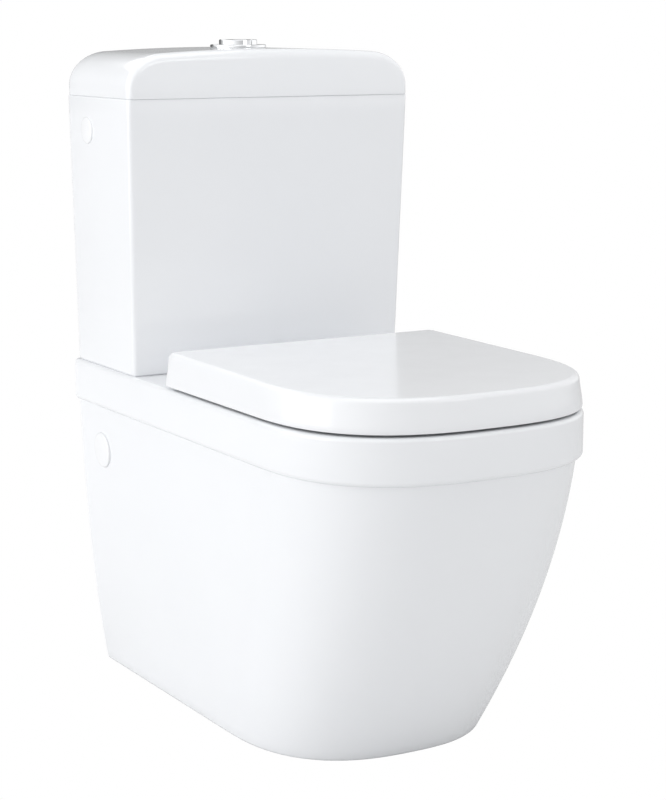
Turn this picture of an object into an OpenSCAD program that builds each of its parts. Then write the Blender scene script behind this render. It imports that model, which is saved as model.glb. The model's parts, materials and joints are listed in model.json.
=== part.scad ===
// Close coupled toilet: skirted china pan, cistern with a dual flush valve, soft close seat.
// Millimetres. X to the right, +Y to the wall, Z up. The wall is the plane y = depth / 2.

/* [Overall] */
// width of the pan at its rim
pan_w = 374; // [300:1:460]
// wall to the front of the rim
depth = 660; // [560:1:800]
// height of the rim
rim_z = 399; // [340:1:480]
// height of the plain band under the rim
band_h = 52; // [40:1:70]
// how far the band stands out from the skirt
band_step = 5.5; // [2:0.5:8]
// china thickness
china = 12; // [9:0.5:15]

/* [Pan] */
// width of the foot at the floor
foot_w = 299; // [240:1:360]
// wall to the front of the foot
foot_front = 503; // [400:1:640]
// length of the curved nose of the rim
nose = 186; // [120:1:220]
// squareness of the nose of the rim, 2 is an ellipse
nose_power = 2.7; // [2:0.05:4]
// width of the bowl opening
bowl_w = 276; // [220:1:300]
// length of the bowl opening
bowl_len = 316; // [260:1:380]
// height of the waste outlet
outlet_z = 185; // [150:1:220]
// outside diameter of the waste spigot
spigot_d = 102; // [90:1:110]

/* [Cistern] */
// width of the cistern at its top
tank_w_top = 382; // [320:1:420]
// width of the cistern at its foot
tank_w_foot = 367; // [310:1:410]
// depth of the cistern at its top
tank_d_top = 179; // [150:1:200]
// depth of the cistern at its foot
tank_d_foot = 166; // [145:1:190]
// height of the cistern body
tank_h = 328; // [280:1:380]
// height of the ends of the cistern lid
lid_end_h = 53; // [35:1:70]
// rise of the lid from its ends to its middle
lid_crown = 4; // [0:0.5:10]
// cistern wall thickness
tank_wall = 9; // [7:0.5:12]
// gap between the cistern and the wall
tank_gap = 3; // [0:0.5:10]
// radius of the upright corners of the cistern
tank_r = 5.5; // [4:0.5:12]

/* [Seat] */
// height of the seat lid above the rim at its front
seat_top = 40; // [34:1:50]
// extra height of the seat lid at its back edge
seat_rise = 2.5; // [0:0.5:5]
// shadow gap between the rim and the seat lid
seat_gap = 3; // [2:0.5:5]
// seat ring thickness
ring_t = 19; // [15:0.5:24]
// wall to the back edge of the seat lid
seat_rear = 257; // [230:1:290]
// wall to the hinge axis
hinge_back = 236; // [200:1:250]
// half the spacing of the two seat hinges
hinge_x = 77.5; // [60:0.5:90]
// height of the hinge axis above the rim
hinge_rise = 22; // [18:0.5:28]

/* [Flush] */
// outside diameter of the chrome button ring
ring_d = 69; // [50:1:80]
// diameter of the pair of buttons
button_d = 47; // [36:1:60]
// buttons proud of the ring
button_rise = 6; // [3:0.5:10]
// button travel
press = 7; // [4:0.5:9]
// height of the lever pivots above the cistern foot
pivot_h = 256; // [236:1:262]

/* [Fits] */
// radial clearance of a bolt in its hole
bolt_gap = 0.75; // [0.3:0.05:1]
// radial clearance of a turning or sliding fit
run_gap = 0.08; // [0.02:0.01:0.1]
// radial clearance of a push in plug
plug_gap = 0.3; // [0.1:0.05:0.5]

/* [Hidden] */
$fn = 64;

white_china = [0.95, 0.95, 0.95];
white_plastic = [0.93, 0.93, 0.94];
grey_plastic = [0.75, 0.77, 0.8];
chrome = [0.8, 0.8, 0.82];
steel = [0.7, 0.7, 0.72];
rubber = [0.15, 0.15, 0.16];

band_z = rim_z - band_h;
half_band = pan_w / 2;
half_skirt = half_band - band_step;
half_foot = foot_w / 2;
deck_t = 14;
tank_z = rim_z + 1;
floor_t = 10;
seam_z = tank_z + tank_h;
tank_slope = (tank_w_top - tank_w_foot) / 2 / tank_h;
lid_low_z = seam_z;
lid_side_z = lid_low_z + 12;
lid_end_z = lid_low_z + lid_end_h;
lid_top_z = lid_end_z + lid_crown;
axis_y = -tank_gap - tank_d_top / 2;
bore_r = 4;
ring_top_z = lid_top_z + 4;
button_r = button_d / 2;
sleeve_in = button_r + 0.6;
sleeve_out = sleeve_in + 4;
button_top = ring_top_z + button_rise;
split_x = 7;
rod_x = 13;
rod_y = 10;
rod_r = 3.5;
pivot_x = 8;
pivot_z = tank_z + pivot_h;
plate_z = pivot_z - 31;
stroke = 7.9;
stem_r = 16;
tower_top = plate_z - 25;
bolt_x = 84;
fill_x = tank_w_foot / 2 - 60;
fill_y = -tank_gap - 60;
shank_r = 12;
hose_end_r = 10.5;
hose_end_h = 34;
float_z = tank_z + 105;
arm_z = tank_z + 255;
hinge_z = rim_z + hinge_rise;
seat_low = rim_z + seat_gap;
seat_high = rim_z + seat_top;
ring_low = rim_z + 4;
ring_high = ring_low + ring_t;
lid_ceiling = ring_high + 6;
tank_cap_y = -tank_gap - 57;
tank_cap_z = seam_z - 41;
tank_cap_r = 16;
pan_cap_y = -63;
pan_cap_z = band_z - 56;
pan_cap_r = 22;
nose_n = 26;

module at_wall() translate([0, depth / 2, 0]) children();

// one closed outline, back left to back right round a squared nose
function nosed(w, front, len, pw, back, z) = concat(
  [[-w, back, z]],
  [for (i = [0 : nose_n]) let (t = 180 * i / nose_n, c = cos(t), s = abs(sin(t)))
    [-w * sign(c) * pow(abs(c), 2 / pw), -(front - len) - len * pow(s, 2 / pw), z]],
  [[w, back, z]]);

function oval(a, b, yc, z, pw, n) = [for (i = [0 : n - 1]) let (t = 360 * i / n, c = cos(t), s = sin(t))
  [a * sign(c) * pow(abs(c), 2 / pw), yc + b * sign(s) * pow(abs(s), 2 / pw), z]];

function rounded(w, d, r, yc, z, m) = [for (k = [0 : 3], i = [0 : m])
  let (t = 90 * k + 90 * i / m, sx = (k == 0 || k == 3) ? 1 : -1, sy = k < 2 ? 1 : -1)
  [sx * (w / 2 - r) + r * cos(t), yc + sy * (d / 2 - r) + r * sin(t), z]];

// a solid through a list of outlines that all have the same number of points
module loft(rings) {
  n = len(rings[0]);
  m = len(rings);
  pts = [for (r = rings) for (p = r) p];
  sides = [for (j = [0 : m - 2], i = [0 : n - 1])
    let (a = j * n + i, b = j * n + (i + 1) % n, c = a + n, d = b + n) each [[a, c, d], [a, d, b]]];
  polyhedron(points = pts, faces = concat([[for (i = [0 : n - 1]) i]], sides,
    [[for (i = [n - 1 : -1 : 0]) (m - 1) * n + i]]), convexity = 8);
}

// ---- pan ----
function skirt_u(z) = z / band_z;
function skirt_w(z) = let (u = skirt_u(z))
  half_foot + (half_skirt - half_foot) * (1.92 * u - 1.28 * u * u + 0.36 * u * u * u);
function skirt_front(z) = let (u = skirt_u(z))
  foot_front + (depth - 6 - foot_front) * (1.46 * u - 0.3 * u * u - 0.16 * u * u * u);
function skirt_ring(z, in) = let (u = min(1, skirt_u(z)))
  nosed(skirt_w(z) - in, skirt_front(z) - in, nose - 18 + 18 * u - in * 0.6, nose_power - 0.12 + 0.12 * u,
    in > 5 ? 20 : 0, z);
function band_ring(z, in) = nosed(half_band - in, depth - in, nose - in * 0.6, nose_power, 0, z);

bowl_y = -(depth - 48 - bowl_len / 2);
function bowl_ring(z, u, shift, grow) = oval(bowl_w / 2 * u + grow, (bowl_len / 2) * (u * 0.9 + 0.1) + grow,
  bowl_y + shift, z, 2.3, 30);
// the bowl reaches down to its trap: share of its depth, share of its width, shift to the back
bowl_deep = rim_z - outlet_z + 76;
bowl_depths = [for (b = [[1, 0.2, 62], [0.9655, 0.28, 62], [0.8448, 0.36, 58], [0.6897, 0.49, 44],
  [0.5172, 0.68, 28], [0.3448, 0.85, 14], [0.1724, 0.965, 4], [0.0552, 1, 0], [-0.0034, 1, 0]])
  [-b[0] * bowl_deep, b[1], b[2]]];

trap_r = 38;
trap_path = [[bowl_y + 70, outlet_z - 45], [bowl_y + 118, outlet_z - 30], [bowl_y + 162, outlet_z + 8],
  [bowl_y + 205, outlet_z + 42], [bowl_y + 245, outlet_z + 34], [bowl_y + 275, outlet_z + 8],
  [bowl_y + 300, outlet_z]];
function tube_rings(path, r, n) = [for (i = [0 : len(path) - 1])
  let (a = path[max(0, i - 1)], b = path[min(len(path) - 1, i + 1)], l = norm(b - a), t = (b - a) / l)
  [for (k = [0 : n - 1]) let (g = 360 * k / n)
    [r * cos(g), path[i][0] + r * sin(g) * t[1], path[i][1] - r * sin(g) * t[0]]]];

module china_shell() {
  hollow_top = rim_z - deck_t;
  difference() {
    union() {
      difference() {
        loft(concat(
          [skirt_ring(0, 3), skirt_ring(3, 0.4)],
          [for (k = [0.07 : 0.093 : 0.93]) skirt_ring(band_z * k, 0)],
          [skirt_ring(band_z - 0.5, 0), band_ring(band_z, band_step - 0.5), band_ring(band_z + 1.6, 1.6),
           band_ring(band_z + 4, 0.4), band_ring(band_z + 8, 0), band_ring(rim_z - 6, 0),
           band_ring(rim_z - 2.5, 0.9), band_ring(rim_z - 0.7, 2.6), band_ring(rim_z, 5.4)]));
        loft([for (k = [-0.01, 0.1, 0.25, 0.4, 0.55, 0.7, 0.85, 1]) skirt_ring(hollow_top * k, china)]);
      }
      loft([for (b = bowl_depths) bowl_ring(b[0] > 0 ? rim_z - 3 :
        rim_z + b[0] - (b[0] < -0.8 * bowl_deep ? china : 4), b[1], b[2], china - 1)]);
      loft(tube_rings(trap_path, trap_r + 9, 20));
      // box of the flush inlet and its duct to the back of the bowl
      translate([0, axis_y, rim_z - 56]) cylinder(r = 65, h = 50, $fn = 40);
      translate([0, axis_y, rim_z - 49]) rotate([90, 0, 0])
        cylinder(r = 31, h = -bowl_y - bowl_len / 2 + axis_y + 14, $fn = 24);
    }
    loft([for (b = bowl_depths) bowl_ring(rim_z + b[0], b[1], b[2], 0)]);
    loft(tube_rings(concat([trap_path[0] - [25, 2]], trap_path, [trap_path[6] + [20, 0]]), trap_r, 20));
    translate([0, axis_y, rim_z - 49]) rotate([90, 0, 0])
      cylinder(r = 20, h = -bowl_y - bowl_len / 2 + axis_y + 30, $fn = 24);
    translate([0, axis_y, rim_z - 52]) cylinder(r = 24, h = 40, $fn = 24);
    // service hole of the water inlet
    translate([fill_x, fill_y, rim_z - 60]) cylinder(r = 24, h = 80, $fn = 32);
  }
}

cap_tilt = atan((skirt_w(pan_cap_z + 10) - skirt_w(pan_cap_z - 10)) / 20);
pan_cap_x = skirt_w(pan_cap_z);
module pan_cap_place(s) translate([s * (pan_cap_x - 1), pan_cap_y, pan_cap_z])
  rotate([0, s * (90 + cap_tilt), 0]) children();

module pan() color(white_china) at_wall() difference() {
  union() {
    // the shell is drawn to shape and then brought to the exact outside size
    resize([pan_w, depth, rim_z]) china_shell();
    translate([0, bowl_y + 296, outlet_z]) rotate([-90, 0, 0])
      cylinder(d = spigot_d, h = -bowl_y - 296 - 6);
  }
  translate([0, bowl_y + 304, outlet_z]) rotate([-90, 0, 0]) cylinder(r = spigot_d / 2 - 6, h = 400);
  translate([0, bowl_y + 290, outlet_z]) rotate([-90, 0, 0]) cylinder(r = trap_r - 1.5, h = 30);
  translate([0, axis_y, rim_z - 22]) cylinder(r = 55, h = 40);
  for (s = [-1, 1]) {
    translate([s * bolt_x, axis_y, rim_z - 60]) cylinder(r = bore_r + bolt_gap, h = 80);
    translate([s * hinge_x, -hinge_back, rim_z - 60]) cylinder(r = bore_r + bolt_gap, h = 80);
    translate([s * (pan_cap_x - 40), pan_cap_y, pan_cap_z]) rotate([0, s * 90, 0])
      cylinder(r = bore_r + bolt_gap, h = 60);
    translate([s * (pan_cap_x - 6), pan_cap_y, pan_cap_z]) rotate([0, s * 90, 0]) cylinder(r = 15, h = 30);
    pan_cap_place(s) cylinder(r = pan_cap_r + 0.4, h = 30);
  }
}

module pan_side_caps() color(white_china) at_wall() for (s = [-1, 1]) pan_cap_place(s)
  rotate_extrude() polygon([[12.4, -3.8], [14.3, -3.8], [14.3, 0], [pan_cap_r, 0], [pan_cap_r, 1.6],
    [pan_cap_r - 0.5, 2.5], [pan_cap_r - 2, 3.2], [pan_cap_r - 6, 3.7], [0, 4], [0, 1], [12.4, 1]]);

// ---- cistern ----
function tank_ring(z, in) = let (u = (z - tank_z) / tank_h,
    w = tank_w_foot + (tank_w_top - tank_w_foot) * u, d = tank_d_foot + (tank_d_top - tank_d_foot) * u)
  rounded(w - 2 * in, d - 2 * in, in > 5 ? 6 : tank_r - min(in, 3), -tank_gap - d / 2, z, 5);

tank_cap_x = (tank_w_foot / 2) + tank_slope * (tank_cap_z - tank_z);
module tank_cap_place(s) translate([s * (tank_cap_x - 0.8), tank_cap_y, tank_cap_z])
  rotate([0, s * (90 + atan(tank_slope)), 0]) children();

module cistern() color(white_china) at_wall() difference() {
  loft([tank_ring(tank_z, 3), tank_ring(tank_z + 1, 1.2), tank_ring(tank_z + 3, 0),
    tank_ring(seam_z - 1.4, 0), tank_ring(seam_z - 0.4, 0.4), tank_ring(seam_z, 1.2)]);
  loft([tank_ring(tank_z + floor_t, tank_wall), tank_ring(seam_z + 1, tank_wall)]);
  translate([0, axis_y, tank_z - 1]) cylinder(r = 30.8, h = 20);
  translate([fill_x, fill_y, tank_z - 1]) cylinder(r = shank_r + bolt_gap, h = 20);
  for (s = [-1, 1]) {
    translate([s * bolt_x, axis_y, tank_z - 1]) cylinder(r = bore_r + bolt_gap, h = 20);
    translate([s * (tank_cap_x - 20), tank_cap_y, tank_cap_z]) rotate([0, s * 90, 0]) cylinder(r = 9, h = 30);
    tank_cap_place(s) cylinder(r = tank_cap_r + 0.4, h = 20);
  }
}

module cistern_side_caps() color(white_china) at_wall() for (s = [-1, 1]) tank_cap_place(s)
  rotate_extrude() polygon([[0, -7], [9 - plug_gap, -7], [9 - plug_gap, 0], [tank_cap_r, 0],
    [tank_cap_r, 1.4], [tank_cap_r - 0.6, 2.2], [tank_cap_r - 2.2, 2.9], [tank_cap_r - 6, 3.2], [0, 3.4]]);

// end view of the lid: upright sides, big elliptical shoulders, a slight crown
function lid_profile(in, low) = let (w = tank_w_top / 2 - in, rx = 52 - in * 0.7, top = lid_end_z - in,
    rz = top - lid_side_z, n = 9) concat([[-w, low]],
  [for (i = [0 : n]) let (t = 90 * i / n) [-w + rx - rx * cos(t), lid_side_z + rz * sin(t)]],
  [for (i = [1 : 7]) let (x = -1 + i / 4) [(w - rx) * x, top + lid_crown * (1 - x * x)]],
  [for (i = [0 : n]) let (t = 90 * i / n) [w - rx + rx * sin(t), lid_side_z + rz * cos(t)]], [[w, low]]);

lid_d = tank_d_top + 1;
module lid_plan(in, r) translate([0, -tank_gap - lid_d / 2]) {
  w = tank_w_top - 2 * in;
  d = lid_d - 2 * in;
  square([w - 2 * r, d], center = true);
  square([w, d - 2 * r], center = true);
  for (x = [-1, 1], y = [-1, 1]) translate([x * (w / 2 - r), y * (d / 2 - r)]) circle(r);
}

module cistern_lid() color(white_china) at_wall() difference() {
  union() {
    intersection() {
      translate([0, 10, 0]) rotate([90, 0, 0]) linear_extrude(lid_d + 20) polygon(lid_profile(0, lid_low_z));
      translate([-300, -tank_gap, 0]) rotate([90, 0, 90]) linear_extrude(600)
        polygon(concat([[-lid_d + 1, lid_low_z], [-lid_d, lid_low_z + 1.4]],
          [for (i = [0 : 6]) let (t = 15 * i) [-lid_d + 14 - 14 * cos(t), lid_end_z - 12 + (12 + lid_crown) * sin(t)]],
          [for (i = [0 : 6]) let (t = 15 * i) [-14 + 14 * sin(t), lid_end_z - 12 + (12 + lid_crown) * cos(t)]],
          [[0, lid_low_z]]));
      translate([0, 0, lid_low_z - 1]) linear_extrude(120) lid_plan(0, tank_r + 2.5);
    }
    translate([0, 0, lid_low_z - 8]) linear_extrude(10) lid_plan(tank_wall + 3, 6);
  }
  translate([0, -tank_gap - 15, 0]) rotate([90, 0, 0]) linear_extrude(lid_d - 30)
    polygon(lid_profile(15, lid_low_z - 20));
  translate([0, axis_y, lid_low_z]) cylinder(r = sleeve_out + bolt_gap, h = 100);
}

// ---- flush buttons ----
module button_collar() color(chrome) at_wall() translate([0, axis_y, 0]) difference() {
  rotate_extrude() polygon([[sleeve_in, lid_top_z - 28], [sleeve_out, lid_top_z - 28],
    [sleeve_out, lid_top_z + 0.2], [ring_d / 2 - 0.6, lid_top_z + 0.2], [ring_d / 2, lid_top_z + 0.8],
    [ring_d / 2, ring_top_z - 1], [ring_d / 2 - 1, ring_top_z], [sleeve_in + 0.4, ring_top_z],
    [sleeve_in, ring_top_z - 0.4], [sleeve_in, lid_top_z - 22], [0, lid_top_z - 22],
    [0, lid_top_z - 26], [sleeve_in, lid_top_z - 26]]);
  for (s = [-1, 1]) translate([s * rod_x, s * rod_y, lid_top_z - 40])
    cylinder(r = rod_r + run_gap, h = 30);
}

module collar_nut() color(white_plastic) at_wall() translate([0, axis_y, lid_top_z - 24]) difference() {
  cylinder(r = sleeve_out + 11, h = lid_crown + 4.5, $fn = 12);
  translate([0, 0, -1]) cylinder(r = sleeve_out + 0.1, h = 30);
}

module button_half(s) at_wall() translate([0, axis_y, 0]) difference() {
  intersection() {
    rotate_extrude() polygon([[0, button_top - 14], [button_r, button_top - 14], [button_r, button_top - 0.8],
      [button_r - 0.8, button_top], [0, button_top]]);
    translate([s > 0 ? split_x + 0.35 : -50, -50, 0]) cube([s > 0 ? 50 : 50 + split_x - 0.35, 100, 1000]);
  }
  translate([s * rod_x, s * rod_y, button_top - 15]) cylinder(r = rod_r + 0.05, h = 9);
}
module half_flush_button() color(chrome) button_half(1);
module full_flush_button() color(chrome) button_half(-1);

module rod(s) at_wall() translate([s * rod_x, axis_y + s * rod_y, 0]) {
  translate([0, 0, pivot_z + 3.3 + rod_r]) cylinder(r = rod_r, h = button_top - 6 - pivot_z - 3.3 - rod_r);
  translate([0, 0, pivot_z + 3.3 + rod_r]) sphere(r = rod_r);
}
module half_flush_rod() color(white_plastic) rod(1);
module full_flush_rod() color(white_plastic) rod(-1);

// ---- flush valve ----
module on_axis() at_wall() translate([0, axis_y, 0]) children();

module outlet_washer() color(rubber) on_axis() translate([0, 0, tank_z + floor_t]) difference() {
  cylinder(r = 41, h = 3);
  translate([0, 0, -1]) cylinder(r = 30.3, h = 6);
}

module valve_base() color(grey_plastic) on_axis() difference() {
  union() {
    translate([0, 0, rim_z - 19]) cylinder(r = 30, h = tank_z - rim_z + 19 + floor_t + 6);
    translate([0, 0, tank_z + floor_t + 3]) cylinder(r = 43, h = 5);
    translate([0, 0, tank_z + floor_t + 8]) cylinder(r1 = 32, r2 = 29, h = 8);
    for (a = [45 : 90 : 315]) rotate(a) translate([39, 0, tank_z + floor_t + 7]) cylinder(r = 3.5, h = 49);
  }
  translate([0, 0, rim_z - 20]) cylinder(r = 25, h = 80);
}

module outlet_nut() color(grey_plastic) on_axis() translate([0, 0, tank_z - 12]) difference() {
  cylinder(r = 44, h = 12, $fn = 8);
  translate([0, 0, -1]) cylinder(r = 30.15, h = 20);
}

module coupling_gasket() color(rubber) on_axis() difference() {
  translate([0, 0, rim_z - 22]) cylinder(r = 54, h = tank_z - rim_z + 22);
  translate([0, 0, tank_z - 12.5]) cylinder(r = 45.5, h = 30);
  translate([0, 0, rim_z - 30]) cylinder(r = 30.6, h = 60);
}

module valve_seal() color(rubber) on_axis() translate([0, 0, tank_z + floor_t + 16]) difference() {
  cylinder(r = 31, h = 3);
  translate([0, 0, -1]) cylinder(r = 14, h = 6);
}

module valve_stem() color(grey_plastic) on_axis() difference() {
  union() {
    translate([0, 0, tank_z + floor_t + 19]) cylinder(r = 29, h = 3);
    translate([0, 0, tank_z + floor_t + 19]) cylinder(r = stem_r, h = plate_z + 4 - tank_z - floor_t - 19);
    translate([-36, -18, plate_z]) cube([72, 36, 3]);
  }
  translate([0, 0, tank_z]) cylinder(r = stem_r - 2.5, h = 400);
}

module valve_tower() color(white_plastic) on_axis() {
  low = tank_z + floor_t + 56;
  difference() {
    union() {
      translate([0, 0, low]) cylinder(r = 44, h = 4);
      translate([0, 0, low]) cylinder(r = 34, h = tower_top - low);
      for (s = [-1, 1]) translate([-16, s > 0 ? 20 : -23, tower_top - 2]) cube([32, 3, pivot_z + 9 - tower_top]);
    }
    translate([0, 0, low - 1]) cylinder(r = 31, h = tower_top - low - 3);
    translate([0, 0, low - 1]) cylinder(r = stem_r + 0.3, h = 400);
    for (a = [0, 90]) rotate(a) translate([-60, -11, low + 14]) cube([120, 22, tower_top - low - 34]);
  }
  for (s = [-1, 1]) translate([-s * pivot_x, s * 3, pivot_z]) rotate([s * -90, 0, 0]) cylinder(r = 2, h = 18);
}

// rocker: the rod presses one end, the finger at the other end lifts the stem plate
module lever(s, drop) on_axis() translate([-s * pivot_x, s * 10, pivot_z]) rotate([90, 0, 0])
  mirror([s > 0 ? 0 : 1, 0, 0]) difference() {
    union() {
      translate([0, 0, -6]) cylinder(r = 5, h = 12);
      translate([-35, -3, -6]) cube([61, 6, 12]);
      translate([-35, -31.6 - drop - 6, -6]) cube([4, 34.6 + drop + 6, 12]);
      translate([-35, -31.6 - drop - 6, -6]) cube([17, 6, 12]);
    }
    translate([0, 0, -10]) cylinder(r = 2 + run_gap, h = 20);
  }
module half_flush_lever() color(grey_plastic) lever(1, 9);
module full_flush_lever() color(grey_plastic) lever(-1, 0);

// ---- cistern to pan fixings ----
module pairs(x, y, z) at_wall() for (s = [-1, 1]) translate([s * x, y, z]) children();

module wing_nut(r) difference() {
  union() {
    cylinder(r = 7.5, h = 9);
    translate([-14, -1.75, 2]) cube([28, 3.5, 7]);
  }
  translate([0, 0, -1]) cylinder(r = r, h = 20);
}

module coupling_bolts() color(steel) pairs(bolt_x, axis_y, 0) {
  translate([0, 0, tank_z + floor_t + 3]) cylinder(r = 8, h = 5, $fn = 6);
  translate([0, 0, rim_z - 52]) cylinder(r = bore_r, h = tank_z + floor_t + 4 - rim_z + 52);
}
module coupling_washers() color(rubber) pairs(bolt_x, axis_y, tank_z + floor_t) difference() {
  cylinder(r = 13, h = 3);
  translate([0, 0, -1]) cylinder(r = bore_r + 0.1, h = 6);
}
module coupling_nuts() color(steel) pairs(bolt_x, axis_y, rim_z - deck_t - 9) wing_nut(bore_r + 0.1);

// ---- water inlet valve ----
module at_fill() at_wall() translate([fill_x, fill_y, 0]) children();

module fill_valve_body() color(grey_plastic) at_fill() difference() {
  union() {
    // free end for the supply hose, thinner than the shank so that the nut passes over it
    translate([0, 0, tank_z - 12 - hose_end_h]) cylinder(r = hose_end_r, h = hose_end_h);
    translate([0, 0, tank_z - 12]) cylinder(r = shank_r, h = floor_t + 16);
    translate([0, 0, tank_z + floor_t + 2]) cylinder(r = shank_r + 7, h = 4);
    translate([0, 0, tank_z + floor_t + 2]) cylinder(r = shank_r, h = arm_z - 20 - tank_z - floor_t);
    translate([0, 0, arm_z - 30]) cylinder(r = 17, h = 18);
    // ears that carry the pivot pin of the arm
    for (y = [-8, 5]) translate([-27, y, arm_z - 30]) cube([18, 3, 36]);
    translate([-22, -8, arm_z]) rotate([-90, 0, 0]) cylinder(r = 1.75, h = 16);
  }
  translate([0, 0, tank_z - 60]) cylinder(r = 6.5, h = arm_z - tank_z + 20);
}

module fill_valve_float() color(white_plastic) at_fill() translate([0, 0, float_z]) difference() {
  union() {
    cylinder(r = 33, h = 62);
    translate([22, -5, 62 - 4]) cube([10, 10, 8]);
  }
  translate([0, 0, -1]) cylinder(r = shank_r + 0.4, h = 80);
  translate([0, 0, -1]) difference() {
    cylinder(r = 30.5, h = 56);
    cylinder(r = 15, h = 56);
  }
  translate([27, 0, 62 - 8]) cylinder(r = 2.05, h = 20);
}

module fill_valve_link() color(steel) at_fill() translate([27, 0, 0]) {
  translate([0, 0, float_z + 54]) cylinder(r = 2, h = arm_z + 14 - float_z - 54);
  translate([0, 0, arm_z - 2.5 - 3]) cylinder(r = 3.5, h = 3);
  translate([0, 0, arm_z + 10]) cylinder(r = 3.5, h = 2.5);
}

module fill_valve_arm() color(grey_plastic) at_fill() translate([-22, 0, arm_z]) difference() {
  union() {
    rotate([90, 0, 0]) cylinder(r = 4.5, h = 9, center = true);
    translate([0, -4.5, -2]) cube([58, 9, 4]);
  }
  rotate([90, 0, 0]) cylinder(r = 1.75 + run_gap, h = 20, center = true);
  translate([44, -2.5, -5]) cube([10, 5, 10]);
}

module inlet_washer() color(rubber) at_fill() translate([0, 0, tank_z + floor_t]) difference() {
  cylinder(r = shank_r + 7, h = 2);
  translate([0, 0, -1]) cylinder(r = shank_r + 0.2, h = 5);
}
module inlet_nut() color(white_plastic) at_fill() translate([0, 0, tank_z - 11]) difference() {
  cylinder(r = shank_r + 8, h = 11, $fn = 6);
  translate([0, 0, -1]) cylinder(r = shank_r + 0.1, h = 20);
}

// ---- seat ----
lid_in = 1.1;
// gap between the back edge of the ring and the back wall of the lid
ring_back = 2.4;
function seat_outline(in, z, back = 0) = nosed(half_band - lid_in - in, depth - lid_in - in, nose - in * 0.6,
  nose_power, -seat_rear - min(in, 6) * 0.6 - back, z);

// the same outline, lifted more and more towards the hinge
function risen(in, z) = [for (p = seat_outline(in, z))
  [p[0], p[1], z + seat_rise * (p[1] + depth) / (depth - seat_rear)]];

module seat_lid() color(white_plastic) at_wall() {
  difference() {
    union() {
      loft([seat_outline(1.5, seat_low), seat_outline(0.4, seat_low + 1), seat_outline(0, seat_low + 3),
        seat_outline(1.6, seat_low + 15), risen(3.4, seat_high - 9), risen(4.3, seat_high - 5.5),
        risen(6.2, seat_high - 2.6), risen(9, seat_high - 0.8), risen(13, seat_high)]);
      // hinge arms
      for (s = [-1, 1]) translate([s * (hinge_x + 14) - 7, 0, hinge_z]) rotate([90, 0, 90]) {
        translate([-hinge_back, 0, 0]) cylinder(r = 9.5, h = 14);
        translate([-seat_rear - 3, -9, 0]) cube([seat_rear + 3 - hinge_back, 18, 14]);
      }
    }
    difference() {
      loft([seat_outline(6, seat_low - 1), seat_outline(8.5, lid_ceiling - 6), seat_outline(14, lid_ceiling)]);
      // bosses over the ring that stiffen the hinge arms
      for (s = [-1, 1]) translate([s * (hinge_x + 14) - 12, -seat_rear - 14, ring_high + 1.5]) cube([24, 20, 60]);
    }
    for (s = [-1, 1]) {
      // room for the arms of the ring
      translate([s * (hinge_x - 15) - 9.5, -seat_rear - 22, seat_low - 5]) cube([19, 40, ring_high - seat_low + 13]);
      translate([s * (hinge_x + 14) - 10, -hinge_back, hinge_z]) rotate([90, 0, 90])
        cylinder(r = 4 + run_gap, h = 20);
    }
  }
}

seat_hole_w = bowl_w - 46;
seat_hole_len = bowl_len - 34;
module seat_ring() color(white_plastic) at_wall() {
  difference() {
    union() {
      loft([seat_outline(10, ring_low, ring_back), seat_outline(9, ring_low + 2, ring_back),
        seat_outline(9.5, ring_high - 6, ring_back), seat_outline(12, ring_high - 1.6, ring_back),
        seat_outline(18, ring_high, ring_back)]);
      for (s = [-1, 1]) translate([s * (hinge_x - 15) - 7, 0, hinge_z]) rotate([90, 0, 90]) {
        translate([-hinge_back, 0, 0]) cylinder(r = 9.5, h = 14);
        translate([-seat_rear - 14, -9, 0]) cube([seat_rear + 14 - hinge_back, 11, 14]);
      }
    }
    loft([for (k = [[-1, 8], [3, 2], [ring_t / 2, 0], [ring_t - 4, 3], [ring_t + 1, 12]])
      oval(seat_hole_w / 2 + k[1], seat_hole_len / 2 + k[1], bowl_y, ring_low + k[0], 2.3, 40)]);
    for (s = [-1, 1]) translate([s * (hinge_x - 15) - 10, -hinge_back, hinge_z]) rotate([90, 0, 90])
      cylinder(r = 4 + run_gap, h = 20);
  }
}

module buffers(z, h, r) at_wall() for (s = [-1, 1], y = [bowl_y - 118, bowl_y + 110])
  translate([s * (y < bowl_y ? seat_hole_w / 2 - 22 : seat_hole_w / 2 + 32), y - (y < bowl_y ? 22 : 0), z])
    cylinder(r = r, h = h);
module ring_buffers() color(rubber) buffers(rim_z, 4, 8);
module lid_buffers() color(rubber) buffers(ring_high, lid_ceiling - ring_high, 6);

module hinge_posts() color(chrome) pairs(hinge_x, -hinge_back, 0) difference() {
  union() {
    translate([0, 0, rim_z]) cylinder(r = 20, h = 5);
    translate([-6.5, -8, rim_z]) cube([13, 16, hinge_rise]);
    translate([-6.5, 0, hinge_z]) rotate([90, 0, 90]) cylinder(r = 9.5, h = 13);
  }
  translate([-20, 0, hinge_z]) rotate([90, 0, 90]) cylinder(r = 4.02, h = 40);
  translate([0, 0, rim_z - 1]) cylinder(r = bore_r + 0.05, h = 11);
}
module hinge_pins() color(steel) pairs(hinge_x, -hinge_back, hinge_z) rotate([90, 0, 90])
  cylinder(r = 4, h = 42, center = true);
module seat_bolts() color(steel) pairs(hinge_x, -hinge_back, rim_z - 48) cylinder(r = bore_r, h = 57.5);
module seat_washers() color(rubber) pairs(hinge_x, -hinge_back, rim_z - deck_t - 2.5) difference() {
  cylinder(r = 11, h = 2.5);
  translate([0, 0, -1]) cylinder(r = bore_r + 0.1, h = 6);
}
module seat_nuts() color(white_plastic) pairs(hinge_x, -hinge_back, rim_z - deck_t - 11.5) wing_nut(bore_r + 0.1);

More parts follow.
